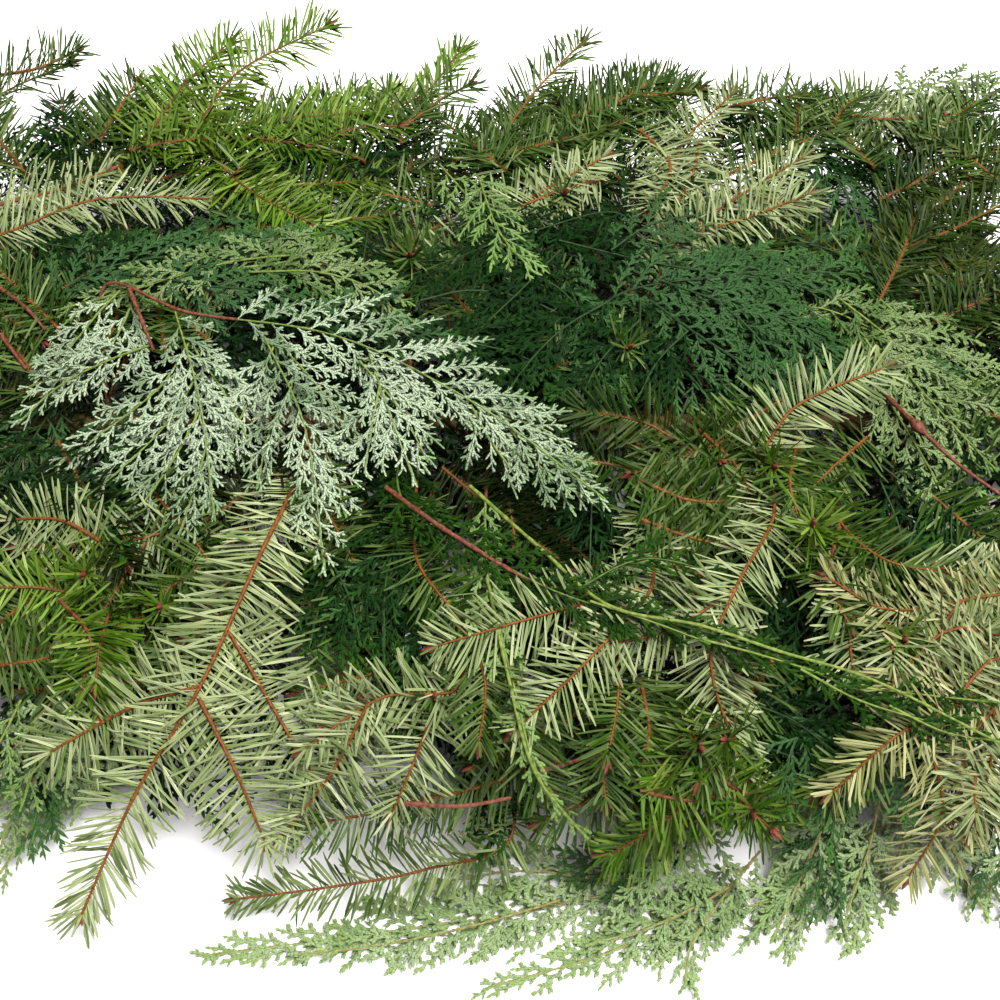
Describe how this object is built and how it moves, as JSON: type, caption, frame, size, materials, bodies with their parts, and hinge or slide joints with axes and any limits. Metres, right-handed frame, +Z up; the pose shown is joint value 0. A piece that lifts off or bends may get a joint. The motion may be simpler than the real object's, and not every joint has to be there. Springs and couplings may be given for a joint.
{
  "type": "evergreen_garland",
  "caption": "Thick fir and cedar garland with pale needle undersides, silver-backed cedar fans and red-brown twigs, bound to a hidden jute rope, lying flat",
  "frame": {"origin": "on the surface that the garland lies on, at the flat spot under its middle", "axes": "X along the garland, Y across it towards its back edge, Z up from the surface; the pictured front edge is at -Y"},
  "size_m": [0.6767, 0.4509, 0.1258],
  "materials": {
    "cedar_silver": "silvery-white undersides of scale leaves",
    "fir_pale": "cream-green needle undersides on an orange-brown twig",
    "fir_bright": "yellow-green needles on a red-brown twig",
    "cedar_lime": "yellow-green scale leaves on a pale rib",
    "fir_green": "waxy green needles on an orange-brown twig",
    "cedar_blue": "blue-green scale leaves with a dull bloom",
    "cedar_dark": "deep green scale leaves on a brown twig",
    "fir_dark": "dark olive needles on a red-brown twig",
    "core_rope": "coarse twisted jute",
    "binding_wire": "green enamelled florist's wire"
  },
  "bodies": {
    "root": {"cedar_silver_bough": "cedar_silver", "fir_front_bough": "fir_pale", "fir_back_left_bough": "fir_bright", "cedar_long_spray": "cedar_lime", "fir_hanging_pale": "fir_pale", "fir_pale_crown": "fir_pale", "fir_pale_trio": "fir_pale", "cedar_lime_sprig": "cedar_lime", "fir_pale_left": "fir_pale", "fir_pale_left_front": "fir_pale", "fir_front_pale_shoots": "fir_pale", "fir_pale_pair": "fir_pale", "fir_pale_right": "fir_pale", "fir_right_edge": "fir_pale", "fir_curved_right": "fir_green", "cedar_low_front": "cedar_blue", "cedar_low_right": "cedar_blue", "cedar_fan_right": "cedar_blue", "fir_lying_front": "fir_green", "fir_bright_front": "fir_bright", "fir_middle_shoots": "fir_green", "cedar_middle_dark": "cedar_dark", "cedar_hanging_dark": "cedar_dark", "cedar_centre_dark": "cedar_dark", "cedar_upper_left": "cedar_blue", "cedar_right_dark": "cedar_blue", "cedar_right_pale": "cedar_lime", "cedar_right_under": "cedar_dark", "cedar_top_right": "cedar_dark", "fir_bright_right": "fir_bright", "fir_top_twigs": "fir_green", "fir_top_edge": "fir_green", "fir_pale_middle": "fir_pale", "fir_far_left_twig": "fir_green", "fir_left_brown": "fir_green", "cedar_dark_left": "cedar_dark", "fir_left_tufts": "fir_bright", "cedar_left_low": "cedar_blue", "fir_star_right": "fir_green", "fir_olive_middle": "fir_dark", "fir_back_low_left": "fir_green", "cedar_back_left": "cedar_dark", "fir_back_middle": "fir_green", "cedar_back_right": "cedar_blue", "fir_back_right": "fir_green", "cedar_end_left_front": "cedar_blue", "fir_end_left": "fir_green", "cedar_end_left_back": "cedar_dark", "fir_end_right_front": "fir_green", "cedar_end_right": "cedar_lime", "cedar_end_right_back": "cedar_blue", "cedar_under_middle": "cedar_dark", "cedar_under_left": "cedar_dark", "cedar_under_right": "cedar_dark", "cedar_under_back": "cedar_dark", "core_rope": "core_rope", "binding_wire": "binding_wire"}
  },
  "joints": []
}
